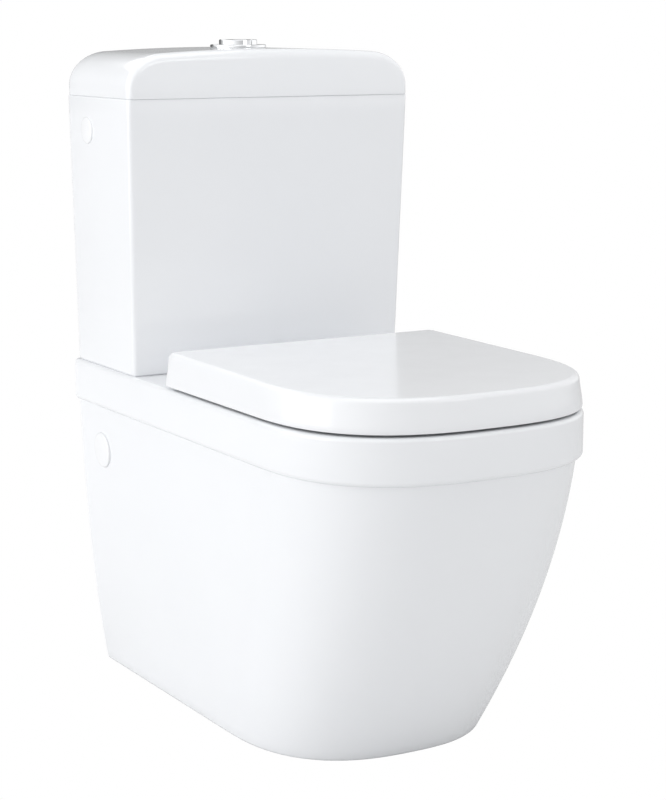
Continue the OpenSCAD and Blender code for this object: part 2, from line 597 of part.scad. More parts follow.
// ---- wall fixing ----
bracket_x = skirt_w(pan_cap_z - 36) - china - 0.8;
module wall_brackets() color(steel) at_wall() for (s = [-1, 1]) mirror([s > 0 ? 0 : 1, 0, 0]) difference() {
  union() {
    translate([bracket_x - 46, -4, pan_cap_z - 35]) cube([46, 4, 70]);
    translate([bracket_x - 4, -92, pan_cap_z - 20]) cube([4, 92, 40]);
  }
  translate([bracket_x - 10, pan_cap_y, pan_cap_z]) rotate([0, 90, 0]) cylinder(r = bore_r + 0.12, h = 20);
  for (z = [-18, 18]) translate([bracket_x - 28, 5, pan_cap_z + z]) rotate([90, 0, 0]) cylinder(r = 4.5, h = 12);
}
module side_screws() color(steel) at_wall() for (s = [-1, 1]) mirror([s > 0 ? 0 : 1, 0, 0])
  translate([pan_cap_x - 6, pan_cap_y, pan_cap_z]) rotate([0, 90, 0]) difference() {
    union() {
      cylinder(r = 8, h = 4);
      translate([0, 0, -24]) cylinder(r = bore_r, h = 25);
    }
    translate([0, 0, 1.5]) cylinder(r = 2.9, h = 10, $fn = 6);
  }

pan();
cistern();
cistern_lid();
cistern_side_caps();
pan_side_caps();
button_collar();
collar_nut();
half_flush_button();
full_flush_button();
half_flush_rod();
full_flush_rod();
valve_base();
valve_tower();
valve_stem();
valve_seal();
half_flush_lever();
full_flush_lever();
outlet_washer();
outlet_nut();
coupling_gasket();
coupling_bolts();
coupling_washers();
coupling_nuts();
fill_valve_body();
fill_valve_float();
fill_valve_link();
fill_valve_arm();
inlet_washer();
inlet_nut();
seat_ring();
seat_lid();
ring_buffers();
lid_buffers();
hinge_posts();
hinge_pins();
seat_bolts();
seat_washers();
seat_nuts();
wall_brackets();
side_screws();
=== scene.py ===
import bpy
import bmesh
import json
import math
from mathutils import Matrix, Vector

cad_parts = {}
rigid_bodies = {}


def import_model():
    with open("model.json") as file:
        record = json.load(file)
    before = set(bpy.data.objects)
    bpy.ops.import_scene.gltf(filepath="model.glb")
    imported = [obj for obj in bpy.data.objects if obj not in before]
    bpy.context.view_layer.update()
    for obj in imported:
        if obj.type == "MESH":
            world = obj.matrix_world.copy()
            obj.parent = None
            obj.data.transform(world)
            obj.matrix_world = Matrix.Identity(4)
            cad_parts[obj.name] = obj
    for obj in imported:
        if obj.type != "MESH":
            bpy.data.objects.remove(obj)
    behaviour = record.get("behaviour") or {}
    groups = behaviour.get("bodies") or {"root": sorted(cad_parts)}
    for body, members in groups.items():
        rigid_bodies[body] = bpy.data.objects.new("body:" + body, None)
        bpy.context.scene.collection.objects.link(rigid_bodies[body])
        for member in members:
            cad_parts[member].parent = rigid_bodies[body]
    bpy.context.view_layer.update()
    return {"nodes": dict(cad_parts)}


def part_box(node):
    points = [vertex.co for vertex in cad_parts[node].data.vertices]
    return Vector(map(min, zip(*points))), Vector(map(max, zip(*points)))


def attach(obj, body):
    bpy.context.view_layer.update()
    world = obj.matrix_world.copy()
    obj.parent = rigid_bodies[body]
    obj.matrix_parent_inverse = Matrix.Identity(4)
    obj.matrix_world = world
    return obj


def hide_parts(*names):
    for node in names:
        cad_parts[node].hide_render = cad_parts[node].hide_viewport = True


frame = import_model()
print("frame loaded")

mm = 0.001
panLow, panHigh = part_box("pan")
wallY = panHigh[1]  # the wall plane
rimZ = panHigh[2]
panHalf = panHigh[0]
panDepth = panHigh[1] - panLow[1]
tankLow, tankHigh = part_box("cistern")
coverLow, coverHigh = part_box("cistern_lid")
seatLidLow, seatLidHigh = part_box("seat_lid")
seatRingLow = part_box("seat_ring")[0]
collarLow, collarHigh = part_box("button_collar")
spigotZ = 185 * mm


camera = {
    "place": (-1.2176, -2.09243, 0.82193),
    "turn": 30.143,  # degrees from +Y towards +X
    "down": 10.345,
    "roll": -0.019,
    "lens": 94.3726,
}


def makeCamera():
    turn, down, roll = (math.radians(camera[k]) for k in ("turn", "down", "roll"))
    ahead = Vector((math.sin(turn) * math.cos(down), math.cos(turn) * math.cos(down), -math.sin(down)))
    right = Vector((math.cos(turn), -math.sin(turn), 0))
    up = right.cross(ahead)
    rightRolled = right * math.cos(roll) + up * math.sin(roll)
    upRolled = up * math.cos(roll) - right * math.sin(roll)
    data = bpy.data.cameras.new("studioCamera")
    data.sensor_width = 36
    data.lens = camera["lens"]
    data.clip_end = 50
    cam = bpy.data.objects.new("studioCamera", data)
    bpy.context.scene.collection.objects.link(cam)
    axes = Matrix((rightRolled, upRolled, -ahead)).transposed().to_4x4()
    cam.matrix_world = Matrix.Translation(camera["place"]) @ axes
    bpy.context.scene.camera = cam


makeCamera()

studio = {
    "air": 0.0,  # even light from all round
    "fromLeft": 1.5,
    "fromRight": 1.25,
    "fromFront": 0.68,
    "fromBack": 0.12,
    "fromAbove": 0.33,
    "fromBelow": 0.0,
    "sidePower": 23.7,
    "topPower": 16.9,
    "frontPower": 8.1,
    "backPower": 10,
    "floorShade": 0.80,
}


def softBox(name, place, target, size, power):
    data = bpy.data.lights.new(name, "AREA")
    data.shape = "RECTANGLE"
    data.size, data.size_y = size
    data.energy = power
    lamp = bpy.data.objects.new(name, data)
    bpy.context.scene.collection.objects.link(lamp)
    lamp.location = place
    lamp.rotation_euler = (Vector(target) - Vector(place)).to_track_quat("-Z", "Y").to_euler()
    return lamp


def sumNode(tree, kind, a, b):
    node = tree.nodes.new("ShaderNodeMath")
    node.operation = kind
    for place, value in ((0, a), (1, b)):
        if isinstance(value, float):
            node.inputs[place].default_value = value
        else:
            tree.links.new(value, node.inputs[place])
    return node.outputs[0]


def makeAir():
    # soft light that changes gently with its direction, and plain white behind the object
    world = bpy.data.worlds.new("studioAir")
    bpy.context.scene.world = world
    world.use_nodes = True
    tree = world.node_tree
    coord = tree.nodes.new("ShaderNodeTexCoord")
    split = tree.nodes.new("ShaderNodeSeparateXYZ")
    tree.links.new(coord.outputs["Generated"], split.inputs[0])
    x, y, z = split.outputs
    level = None
    for side, axis, way in (("fromLeft", x, -1.0), ("fromRight", x, 1.0), ("fromFront", y, -1.0),
                            ("fromBack", y, 1.0), ("fromAbove", z, 1.0), ("fromBelow", z, -1.0)):
        facing = sumNode(tree, "MAXIMUM", sumNode(tree, "MULTIPLY", axis, way), 0.0)
        part = sumNode(tree, "MULTIPLY", sumNode(tree, "MULTIPLY", facing, facing), float(studio[side]))
        level = sumNode(tree, "ADD", part, studio["air"] if level is None else level)
    tint = tree.nodes.new("ShaderNodeCombineColor")
    for i in range(3):
        tree.links.new(level, tint.inputs[i])
    path = tree.nodes.new("ShaderNodeLightPath")
    white = tree.nodes.new("ShaderNodeMix")
    white.data_type = "RGBA"
    white.inputs["B"].default_value = (1, 1, 1, 1)
    tree.links.new(path.outputs["Is Camera Ray"], white.inputs["Factor"])
    tree.links.new(tint.outputs[0], white.inputs["A"])
    tree.links.new(white.outputs["Result"], tree.nodes["Background"].inputs["Color"])


def makeFloor():
    mesh = bpy.data.meshes.new("studioFloor")
    far = 14
    mesh.from_pydata([(-far, -far, 0), (far, -far, 0), (far, far, 0), (-far, far, 0)], [], [(0, 1, 2, 3)])
    floor = bpy.data.objects.new("studioFloor", mesh)
    bpy.context.scene.collection.objects.link(floor)
    floor.location.z = -0.0006
    mat = bpy.data.materials.new("paleFloor")
    mat.use_nodes = True
    tree = mat.node_tree
    tree.nodes.clear()
    out = tree.nodes.new("ShaderNodeOutputMaterial")
    glow = tree.nodes.new("ShaderNodeEmission")
    matt = tree.nodes.new("ShaderNodeBsdfDiffuse")
    shade = studio["floorShade"]
    matt.inputs["Color"].default_value = (shade, shade, shade, 1)
    path = tree.nodes.new("ShaderNodeLightPath")
    mix = tree.nodes.new("ShaderNodeMixShader")
    tree.links.new(path.outputs["Is Camera Ray"], mix.inputs[0])
    tree.links.new(matt.outputs[0], mix.inputs[1])
    tree.links.new(glow.outputs[0], mix.inputs[2])
    tree.links.new(mix.outputs[0], out.inputs["Surface"])
    mesh.materials.append(mat)


def makeStudio():
    makeAir()
    makeFloor()
    softBox("sideSoftBox", (-2.6, 0.6, 1.1), (0, 0, 0.4), (2.4, 2.0), studio["sidePower"])
    softBox("topSoftBox", (0, -0.4, 2.6), (0, -0.2, 0.4), (1.8, 1.8), studio["topPower"])
    softBox("frontSoftBox", (0.9, -2.8, 1.6), (0, 0, 0.4), (1.2, 1.2), studio["frontPower"])
    softBox("backSoftBox", (-0.3, 2.3, 2.3), (0, 0, 0.6), (2.0, 1.0), studio["backPower"])
    bpy.context.scene.view_settings.view_transform = "Standard"


makeStudio()
print("studio ready")


def newFinish(name):
    mat = bpy.data.materials.new(name)
    mat.use_nodes = True
    tree = mat.node_tree
    return mat, tree, tree.nodes["Principled BSDF"]


def grainTexture(tree, scale, detail=3.0):
    coord = tree.nodes.new("ShaderNodeTexCoord")
    noise = tree.nodes.new("ShaderNodeTexNoise")
    noise.inputs["Scale"].default_value = scale
    noise.inputs["Detail"].default_value = detail
    tree.links.new(coord.outputs["Object"], noise.inputs["Vector"])
    return noise


def mixedColour(tree, bsdf, noise, low, high):
    ramp = tree.nodes.new("ShaderNodeValToRGB")
    ramp.color_ramp.elements[0].position = 0.35
    ramp.color_ramp.elements[1].position = 0.65
    ramp.color_ramp.elements[0].color = (*low, 1)
    ramp.color_ramp.elements[1].color = (*high, 1)
    tree.links.new(noise.outputs[0], ramp.inputs[0])
    tree.links.new(ramp.outputs[0], bsdf.inputs["Base Color"])


def mixedRoughness(tree, bsdf, noise, low, high):
    spread = tree.nodes.new("ShaderNodeMapRange")
    spread.inputs["To Min"].default_value = low
    spread.inputs["To Max"].default_value = high
    tree.links.new(noise.outputs[0], spread.inputs["Value"])
    tree.links.new(spread.outputs[0], bsdf.inputs["Roughness"])


def addBump(tree, bsdf, noise, strength, distance):
    bump = tree.nodes.new("ShaderNodeBump")
    bump.inputs["Strength"].default_value = strength
    bump.inputs["Distance"].default_value = distance
    tree.links.new(noise.outputs[0], bump.inputs["Height"])
    tree.links.new(bump.outputs[0], bsdf.inputs["Normal"])


def whiteGloss(name, low, high, rough, waveScale, wave, coat):
    mat, tree, bsdf = newFinish(name)
    cloud = grainTexture(tree, 3.5, 2)
    mixedColour(tree, bsdf, cloud, low, high)
    mixedRoughness(tree, bsdf, grainTexture(tree, 26, 3), rough, rough * 1.6)
    addBump(tree, bsdf, grainTexture(tree, waveScale, 1.5), wave, 0.0006)
    bsdf.inputs["IOR"].default_value = 1.5
    bsdf.inputs["Coat Weight"].default_value = coat
    bsdf.inputs["Coat Roughness"].default_value = 0.03
    return mat


glazedChina = whiteGloss("glazedChina", (0.858, 0.872, 0.896), (0.874, 0.887, 0.908), 0.09, 14, 0.12, 0.3)
seatGloss = whiteGloss("seatGloss", (0.852, 0.864, 0.886), (0.862, 0.874, 0.895), 0.14, 30, 0.05, 0.15)
capGloss = whiteGloss("capGloss", (0.862, 0.872, 0.89), (0.872, 0.882, 0.898), 0.16, 40, 0.05, 0.0)


def metalFinish(name, low, high, roughLow, roughHigh, scale):
    mat, tree, bsdf = newFinish(name)
    grain = grainTexture(tree, scale, 4)
    mixedColour(tree, bsdf, grain, low, high)
    mixedRoughness(tree, bsdf, grain, roughLow, roughHigh)
    bsdf.inputs["Metallic"].default_value = 1.0
    return mat


brightChrome = metalFinish("brightChrome", (0.80, 0.81, 0.83), (0.86, 0.87, 0.88), 0.03, 0.07, 60)
zincSteel = metalFinish("zincSteel", (0.50, 0.50, 0.52), (0.62, 0.62, 0.63), 0.24, 0.42, 220)


def plasticFinish(name, low, high, rough, scale, bump):
    mat, tree, bsdf = newFinish(name)
    grain = grainTexture(tree, scale, 5)
    mixedColour(tree, bsdf, grain, low, high)
    mixedRoughness(tree, bsdf, grain, rough, rough + 0.14)
    addBump(tree, bsdf, grain, bump, 0.0004)
    return mat


whiteMoulding = plasticFinish("whiteMoulding", (0.80, 0.80, 0.78), (0.85, 0.85, 0.83), 0.34, 180, 0.15)
greyMoulding = plasticFinish("greyMoulding", (0.30, 0.34, 0.39), (0.37, 0.41, 0.46), 0.38, 160, 0.2)
sealRubber = plasticFinish("sealRubber", (0.018, 0.018, 0.019), (0.032, 0.032, 0.033), 0.55, 300, 0.3)
softPad = plasticFinish("softPad", (0.70, 0.70, 0.69), (0.76, 0.76, 0.75), 0.5, 260, 0.25)
print("finishes mixed")


def finishPiece(name, bm, material, body, hides=(), sharp=34):
    bmesh.ops.remove_doubles(bm, verts=bm.verts, dist=2e-6)
    bmesh.ops.recalc_face_normals(bm, faces=bm.faces)
    mesh = bpy.data.meshes.new(name)
    bm.to_mesh(mesh)
    bm.free()
    for face in mesh.polygons:
        face.use_smooth = True
    mesh.set_sharp_from_angle(angle=math.radians(sharp))
    mesh.materials.append(material)
    piece = bpy.data.objects.new(name, mesh)
    bpy.context.scene.collection.objects.link(piece)
    if hides:
        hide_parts(*hides)
    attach(piece, body)
    return piece


def addRings(bm, rings, closed=True, flip=False):
    rows = [[bm.verts.new(p) for p in ring] for ring in rings]
    n = len(rows[0])
    for low, high in zip(rows, rows[1:]):
        for i in range(n if closed else n - 1):
            j = (i + 1) % n
            quad = (low[i], low[j], high[j], high[i])
            bm.faces.new(quad[::-1] if flip else quad)
    return rows


def capRing(bm, row, flip=False):
    return bm.faces.new(row[::-1] if flip else row)


def joinRows(bm, a, b, closed=True, flip=False):
    n = len(a)
    for i in range(n if closed else n - 1):
        j = (i + 1) % n
        quad = (a[i], a[j], b[j], b[i])
        bm.faces.new(quad[::-1] if flip else quad)


def power(value, exponent):
    return math.copysign(abs(value) ** exponent, value)


def nosedRing(half, front, nose, squareness, back, z, corner=0.0, closing=(), count=112):
    # outline from the back left corner round the nose to the back right corner
    left = [(-half, -back)]
    if corner:
        left = [(-half + corner * (1 - math.sin(math.pi * k / 8)), -back - corner * (1 - math.cos(math.pi * k / 8)))
                for k in range(5)]
    top, foot = -back - corner, nose - front
    left += [(-half, top + (foot - top) * k / 16) for k in range(1, 16)]
    for i in range(count // 2):
        t = math.pi * i / count
        left.append((-half * math.cos(t) ** (2 / squareness), foot - nose * math.sin(t) ** (2 / squareness)))
    points = left + [(0, -front)] + [(-x, y) for x, y in reversed(left)] + [(x, -back) for x in closing]
    return [(x, wallY + y, z) for x, y in points]


def directions(ring, centreY):
    return [math.atan2(y - centreY, x) for x, y, z in ring]


def ovalRing(angles, a, b, centreY, z, squareness=2.3):
    ring = []
    for t in angles:
        c, s = math.cos(t), math.sin(t)
        r = ((abs(c) / a) ** squareness + (abs(s) / b) ** squareness) ** (-1 / squareness)
        ring.append((r * c, centreY + r * s, z))
    return ring


def smoothTable(rows, steps):
    # rounded curve through the rows of numbers
    out = []
    last = len(rows) - 1
    for i in range(last):
        a, b, c, d = rows[max(i - 1, 0)], rows[i], rows[i + 1], rows[min(i + 2, last)]
        for k in range(steps):
            t = k / steps
            out.append([0.5 * (2 * q + (r - p) * t + (2 * p - 5 * q + 4 * r - s) * t * t
                               + (3 * q - p - 3 * r + s) * t ** 3) for p, q, r, s in zip(a, b, c, d)])
    out.append(list(rows[-1]))
    return out


def addSolid(piece, rings, sharp=34):
    # one more closed band of rings in a finished piece
    bm = bmesh.new()
    rows = addRings(bm, rings)
    joinRows(bm, rows[-1], rows[0])
    bmesh.ops.recalc_face_normals(bm, faces=bm.faces)
    bm.from_mesh(piece.data)
    for face in bm.faces:
        face.smooth = True
    bm.to_mesh(piece.data)
    bm.free()
    piece.data.set_sharp_from_angle(angle=math.radians(sharp))


def boxRings(low, high):
    (x0, y0, z0), (x1, y1, z1) = low, high
    return [[(x0, y0, z), (x1, y0, z), (x1, y1, z), (x0, y1, z)] for z in (z0, z1)]


def cutAway(piece, solids, sharp=34):
    # takes away solids, each a list of rings
    bm = bmesh.new()
    for rings in solids:
        rows = addRings(bm, rings)
        capRing(bm, rows[0])
        capRing(bm, rows[-1])
    bmesh.ops.recalc_face_normals(bm, faces=bm.faces)
    mesh = bpy.data.meshes.new("cutter")
    bm.to_mesh(mesh)
    bm.free()
    cutter = bpy.data.objects.new("cutter", mesh)
    bpy.context.scene.collection.objects.link(cutter)
    tool = piece.modifiers.new("cut", "BOOLEAN")
    tool.object = cutter
    tool.operation = "DIFFERENCE"
    tool.solver = "EXACT"
    done = bpy.data.meshes.new_from_object(piece.evaluated_get(bpy.context.evaluated_depsgraph_get()))
    piece.modifiers.clear()
    piece.data = done
    for face in done.polygons:
        face.use_smooth = True
    done.set_sharp_from_angle(angle=math.radians(sharp))
    bpy.data.objects.remove(cutter)


def lathe(bm, profile, place, axis, turns=96):
    # profile is (radius, height) pairs round the axis
    spin = Vector((0, 0, 1)).rotation_difference(Vector(axis)).to_matrix()
    rings = []
    for r, h in profile:
        rings.append([Vector(place) + spin @ Vector((r * math.cos(2 * math.pi * i / turns),
                                                     r * math.sin(2 * math.pi * i / turns), h))
                      for i in range(turns)])
    return addRings(bm, rings)


pan = {
    "footHalf": 149.5 * mm,
    "footFront": 503 * mm,
    "bandHeight": 52 * mm,
    "bandStep": 5.5 * mm,
    "nose": 186 * mm,
    "squareness": 2.7,
    "wall": 12 * mm,
    "deck": 14 * mm,
    "bandTopRound": 5 * mm,
    "bandFootRound": 6 * mm,
    "bowlHalf": 138 * mm,
    "bowlLong": 158 * mm,
    "bowlLip": 6 * mm,
}
bandZ = rimZ - pan["bandHeight"]
deckZ = rimZ - pan["deck"]
bowlY = wallY - (panDepth - 48 * mm - pan["bowlLong"])


def skirtHalf(z):
    u = z / bandZ
    return pan["footHalf"] + (panHalf - pan["bandStep"] - pan["footHalf"]) * (1.92 * u - 1.28 * u * u + 0.36 * u ** 3)


def skirtFront(z):
    u = z / bandZ
    return pan["footFront"] + (panDepth - 6 * mm - pan["footFront"]) * (1.46 * u - 0.3 * u * u - 0.16 * u ** 3)


def skirtRing(z, inset=0.0):
    u = min(1, z / bandZ)
    return nosedRing(skirtHalf(z) - inset, skirtFront(z) - inset, pan["nose"] - (18 - 18 * u) * mm - inset * 0.6,
                     pan["squareness"] - 0.12 + 0.12 * u, 0, z)


def bandRing(z, inset=0.0, closing=()):
    return nosedRing(panHalf - inset, panDepth - inset, pan["nose"] - inset * 0.6, pan["squareness"], 0, z,
                     closing=closing)


def bowlProfile():
    # depth under the rim, share of the full opening, shift towards the wall
    rows = [[-5, 1.0, 0], [-16, 1.0, 0], [-50, 0.965, 4], [-100, 0.85, 14], [-150, 0.68, 28], [-200, 0.49, 44],
            [-236, 0.38, 56]]
    return smoothTable(rows, 6)


def skirtLevels():
    # outer rings with the height of each, from the floor to the underside of the deck
    levels = [(0, 2.6), (0.6, 1.3), (1.8, 0.5), (4, 0)]
    rings = [(z * mm, skirtRing(z * mm, i * mm)) for z, i in levels]
    steps, foot = 34, pan["bandFootRound"]
    for k in range(1, steps + 1):
        z = 4 * mm + (bandZ - 4.3 * mm) * k / steps
        rings.append((z, skirtRing(z)))
    for k in range(9):
        t = math.radians(90 * k / 8)
        z = bandZ + foot * (1 - math.cos(t))
        rings.append((z, bandRing(z, pan["bandStep"] * (1 - math.sin(t)))))
    rings.append((deckZ, bandRing(deckZ)))
    return rings


def trapRing(angles, back, drop, turn, wide, high):
    # a ring across the water way, turned from level towards the wall
    turn = math.radians(turn)
    centre = Vector((0, bowlY + back * mm, rimZ - drop * mm))
    along = Vector((0, math.cos(turn), math.sin(turn)))
    return [tuple(centre + Vector((wide * mm * math.cos(t), 0, 0)) + along * (high * mm * math.sin(t)))
            for t in angles]


def buildPanShell():
    bm = bmesh.new()
    wall = pan["wall"]
    levels = skirtLevels()
    outer = addRings(bm, [ring for z, ring in levels], closed=False)
    inner = addRings(bm, [skirtRing(z, wall) for z, ring in levels], closed=False)
    joinRows(bm, outer[0], inner[0], closed=False)
    for side in (0, -1):  # the two back edges of the skirt
        for low in range(len(outer) - 1):
            bm.faces.new((outer[low][side], outer[low + 1][side], inner[low + 1][side], inner[low][side]))
    edgeX = skirtHalf(deckZ) - wall
    closing = [edgeX * (1 - k / 8) for k in range(17)]
    underside = [bm.verts.new((x, wallY, deckZ)) for x in closing[1:-1]]
    bm.faces.new(inner[-1] + underside)
    # deck, rim and bowl
    top = pan["bandTopRound"]
    lowTo = rimZ - top
    upper = [bandRing(deckZ + (lowTo - deckZ) * k / 2, 0, closing) for k in range(3)]
    for k in range(1, 9):
        t = math.radians(90 * k / 8)
        upper.append(bandRing(lowTo + top * math.sin(t), top * (1 - math.cos(t)), closing))
    rim = upper[-1]
    angles = directions(rim, bowlY)
    lip = pan["bowlLip"]
    a, b = pan["bowlHalf"], pan["bowlLong"]
    edge = ovalRing(angles, a + lip, b + lip, bowlY, rimZ)
    for k in (0.08, 0.3, 0.6, 0.85):
        upper.append([(p[0] + (q[0] - p[0]) * k, p[1] + (q[1] - p[1]) * k, rimZ) for p, q in zip(rim, edge)])
    for k in range(7):
        t = math.radians(90 * k / 6)
        grow = lip * (1 - math.sin(t))
        upper.append(ovalRing(angles, a + grow, b + grow, bowlY, rimZ - lip * (1 - math.cos(t))))
    for depth, u, shift in bowlProfile()[2:]:
        upper.append(ovalRing(angles, a * u, b * (u * 0.9 + 0.1), bowlY + shift * mm, rimZ + depth * mm))
    for row in ((60, 246, 12, 49, 62), (68, 254, 32, 46, 52), (84, 257, 58, 42, 42), (106, 250, 88, 39, 38),
                (130, 234, 118, 38, 38), (162, 206, 131, 38, 38), (196, 180, 122, 38, 38)):
        upper.append(trapRing(angles, *row))
    rows = addRings(bm, upper)
    capRing(bm, rows[-1])
    return finishPiece("panShell", bm, glazedChina, "base", hides=("pan",))


buildPanShell()


def tubeRing(centre, ahead, r, count):
    ahead = Vector(ahead).normalized()
    side = Vector((1, 0, 0))
    up = ahead.cross(side)
    return [tuple(Vector(centre) + side * (r * math.cos(2 * math.pi * i / count))
                  + up * (r * math.sin(2 * math.pi * i / count))) for i in range(count)]


def buildBelly():
    # the hidden underside of the bowl, its trap, the flush duct and the waste spigot
    bm = bmesh.new()
    angles = [2 * math.pi * i / 72 for i in range(72)]
    a, b, grow = pan["bowlHalf"], pan["bowlLong"], 11 * mm
    rows = [[-302, 0.05, 62], [-300, 0.2, 62], [-292, 0.29, 62], [-257, 0.36, 58], [-212, 0.49, 44], [-162, 0.68, 28],
            [-112, 0.85, 14], [-62, 0.965, 4], [-28, 1, 0], [-12, 1, 0]]
    made = addRings(bm, [ovalRing(angles, a * u + grow, b * (u * 0.9 + 0.1) + grow, bowlY + shift * mm,
                                  rimZ + depth * mm) for depth, u, shift in smoothTable(rows, 4)])
    capRing(bm, made[0])
    capRing(bm, made[-1])
    path = [(70, -45), (118, -30), (162, 8), (205, 42), (245, 34), (275, 8), (303, 0)]
    points = [Vector((0, bowlY + y * mm, spigotZ + z * mm)) for y, z in smoothTable(path, 5)]
    last = len(points) - 1
    ways = [points[min(i + 1, last)] - points[max(i - 1, 0)] for i in range(last + 1)]
    tube = [tubeRing(p, way, 47 * mm, 48) for p, way in zip(points, ways)]
    bore = [tubeRing(p, way, 37 * mm, 48) for p, way in list(zip(points, ways))[14:]]
    made = addRings(bm, tube + bore[::-1])
    capRing(bm, made[0])
    capRing(bm, made[-1])
    start, end = bowlY + 296 * mm, wallY - 6 * mm
    rOut, rIn, soft = 51 * mm, 45 * mm, 1.2 * mm
    shape = [(start, 46 * mm), (start, rOut - soft), (start + soft, rOut), (end - soft, rOut), (end, rOut - soft),
             (end, rIn + soft), (end - soft, rIn), (start + 9 * mm, rIn), (start + 9 * mm, 38 * mm),
             (start + 7.2 * mm, 38 * mm), (start + 7.2 * mm, 46 * mm)]
    made = addRings(bm, [tubeRing((0, y, spigotZ), (0, 1, 0), r, 72) for y, r in shape])
    joinRows(bm, made[-1], made[0])
    boxY = (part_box("coupling_gasket")[0][1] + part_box("coupling_gasket")[1][1]) / 2
    made = lathe(bm, [(60 * mm, -56 * mm), (63.5 * mm, -55 * mm), (65 * mm, -52.5 * mm), (65 * mm, -12 * mm)],
                 (0, boxY, rimZ), (0, 0, 1), 72)
    capRing(bm, made[0])
    capRing(bm, made[-1])
    ductEnd = bowlY + pan["bowlLong"] - 6 * mm
    made = addRings(bm, [tubeRing((0, y, rimZ - 49 * mm), (0, 1, 0), 31 * mm, 48) for y in (ductEnd, boxY)])
    capRing(bm, made[0])
    capRing(bm, made[-1])
    return finishPiece("panBelly", bm, glazedChina, "base")


buildBelly()
print("pan built")


cistern = {
    "topHalf": 191 * mm,
    "footHalf": 183.5 * mm,
    "topDepth": 179 * mm,
    "footDepth": 166 * mm,
    "wallGap": 3 * mm,
    "corner": 5.5 * mm,
    "wall": 9 * mm,
    "floor": 10 * mm,
    "footRound": 1.4 * mm,
    "footSkin": 0.8 * mm,  # thin foam under the foot
    "lipRound": 1.4 * mm,
}


def cornerRing(halfX, depth, radius, z, inset=0.0, count=9, middle=None):
    halfX, halfY = halfX - inset, depth / 2 - inset
    radius = max(radius - inset, 0.4 * mm)
    centreY = (wallY - cistern["wallGap"] - depth / 2) if middle is None else middle
    ring = []
    for k, (sx, sy) in enumerate(((1, 1), (-1, 1), (-1, -1), (1, -1))):
        for i in range(count):
            t = math.radians(90 * k + 90 * i / (count - 1))
            ring.append((sx * (halfX - radius) + radius * math.cos(t),
                         centreY + sy * (halfY - radius) + radius * math.sin(t), z))
    return ring


def tankRing(z, inset=0.0):
    low, high = tankLow[2], tankHigh[2]
    u = (z - low) / (high - low)
    half = cistern["footHalf"] + (cistern["topHalf"] - cistern["footHalf"]) * u
    depth = cistern["footDepth"] + (cistern["topDepth"] - cistern["footDepth"]) * u
    return cornerRing(half, depth, cistern["corner"], z, inset)


def buildCistern():
    bm = bmesh.new()
    low, high = tankLow[2], tankHigh[2]
    r, lip, wall = cistern["footRound"], cistern["lipRound"], cistern["wall"]
    rings = []
    for drop in (cistern["footSkin"], 0):
        ring = tankRing(low, r + 0.2 * mm)
        rings.append([(x, y, z - drop) for x, y, z in ring])
    for k in range(0, 7):
        t = math.radians(90 * k / 6)
        rings.append(tankRing(low + r * (1 - math.cos(t)), r * (1 - math.sin(t))))
    for k in range(1, 17):
        rings.append(tankRing(low + r + (high - lip - low - r) * k / 16))
    for k in range(1, 5):
        t = math.radians(90 * k / 4)
        rings.append(tankRing(high - lip + lip * math.sin(t), lip * (1 - math.cos(t))))
    rings += [tankRing(high, wall - 1.5 * mm), tankRing(high - 0.6 * mm, wall - 0.5 * mm),
              tankRing(high - 2 * mm, wall)]
    rings += [tankRing(low + cistern["floor"] + 8 * mm, wall),
              tankRing(low + cistern["floor"] + 2.4 * mm, wall + 2.4 * mm),
              tankRing(low + cistern["floor"], wall + 8 * mm)]
    made = addRings(bm, rings)
    capRing(bm, made[0], flip=True)
    capRing(bm, made[-1])
    return finishPiece("cisternBody", bm, glazedChina, "base", hides=("cistern",))


buildCistern()

cover = {
    "half": 191 * mm,
    "shoulderWide": 52 * mm,
    "sideHigh": 12 * mm,
    "endHigh": 53 * mm,
    "crown": 4 * mm,
    "frontDeep": 10 * mm,
    "frontSide": 6 * mm,
    "frontHigh": 10.5 * mm,
    "backDeep": 9 * mm,
    "backSide": 7 * mm,
    "backHigh": 9 * mm,
    "footRound": 1.4 * mm,
    "inside": 15 * mm,
    "lipIn": 12 * mm,
}


buttons = {
    "radius": 23.5 * mm,
    "split": 7 * mm,
    "gap": 0.35 * mm,
    "edge": 1.3 * mm,
    "ringEdge": 1.4 * mm,
}


def coverSlice(y, side, top):
    # side and top are how far the ends and the top draw in at this slice
    low = coverLow[2] + 8 * mm
    half = cover["half"] - side
    wide = cover["shoulderWide"] - side * 0.4
    z0 = low + cover["sideHigh"]
    z1 = low + cover["endHigh"] - top
    rise = z1 - z0
    foot = cover["footRound"]
    pts = [(-half + foot, low)]
    pts += [(-half + foot * (1 - math.sin(math.radians(t))), low + foot * (1 - math.cos(math.radians(t))))
            for t in (30, 60, 90)]
    pts += [(-half + wide * (1 - math.cos(math.radians(90 * k / 22))),
             z0 + rise * math.sin(math.radians(90 * k / 22))) for k in range(0, 23)]
    flat = half - wide
    for k in range(1, 24):
        x = -1 + k / 12
        pts.append((flat * x, z1 + cover["crown"] * (1 - x * x) * (1 - top / cover["frontHigh"] * 0.4)))
    left = pts[:26]
    pts += [(-x, z) for x, z in reversed(left)]
    return [(x, y, z) for x, z in pts]


